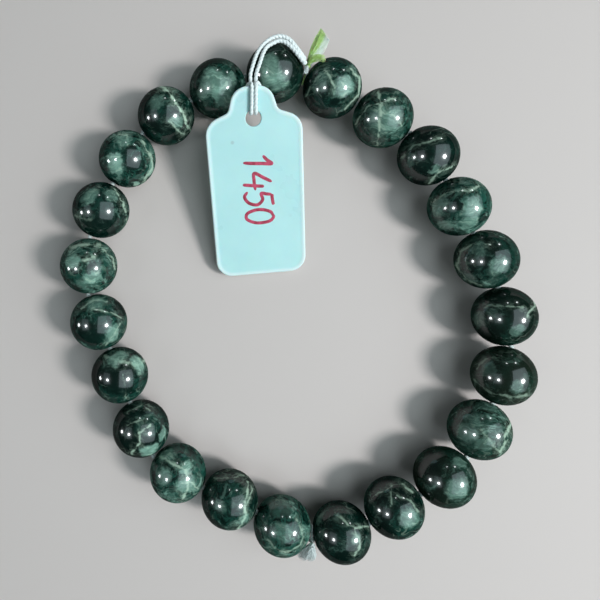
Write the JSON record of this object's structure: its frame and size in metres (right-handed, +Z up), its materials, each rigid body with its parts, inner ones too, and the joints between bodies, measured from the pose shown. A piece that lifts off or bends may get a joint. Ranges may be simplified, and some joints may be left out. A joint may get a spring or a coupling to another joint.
{
  "type": "seraphinite bead bracelet",
  "caption": "Stretch bracelet of round polished dark green seraphinite beads, lying flat, with a small white tag tied on by a doubled thread.",
  "frame": {"origin": "middle of the bracelet's footprint, on the plane the beads rest on", "axes": "+Z up, +Y towards the tied end of the ring where the tag's thread is knotted, +X to the right seen from above"},
  "size_m": [0.0657, 0.0734, 0.0099],
  "materials": {
    "seraphinite": "polished, dark green with pale feathery veins",
    "elastic": "translucent white fibrous elastic",
    "tag_plastic": "glossy white with a cool cast",
    "white_thread": "twisted matt thread",
    "green_yarn": "frayed lime green and white fibres"
  },
  "bodies": {
    "root": {"bead_01": "seraphinite", "bead_02": "seraphinite", "bead_03": "seraphinite", "bead_04": "seraphinite", "bead_05": "seraphinite", "bead_06": "seraphinite", "bead_07": "seraphinite", "bead_08": "seraphinite", "bead_09": "seraphinite", "bead_10": "seraphinite", "bead_11": "seraphinite", "bead_12": "seraphinite", "bead_13": "seraphinite", "bead_14": "seraphinite", "bead_15": "seraphinite", "bead_16": "seraphinite", "bead_17": "seraphinite", "bead_18": "seraphinite", "bead_19": "seraphinite", "bead_20": "seraphinite", "bead_21": "seraphinite", "bead_22": "seraphinite", "bead_23": "seraphinite", "elastic_strand": "elastic", "join_knot": "elastic", "elastic_ends": "elastic", "tied_knot": "green_yarn", "thread_tail": "white_thread", "yarn_tuft": "green_yarn", "tag_thread": "white_thread", "tag": "tag_plastic"}
  },
  "joints": []
}
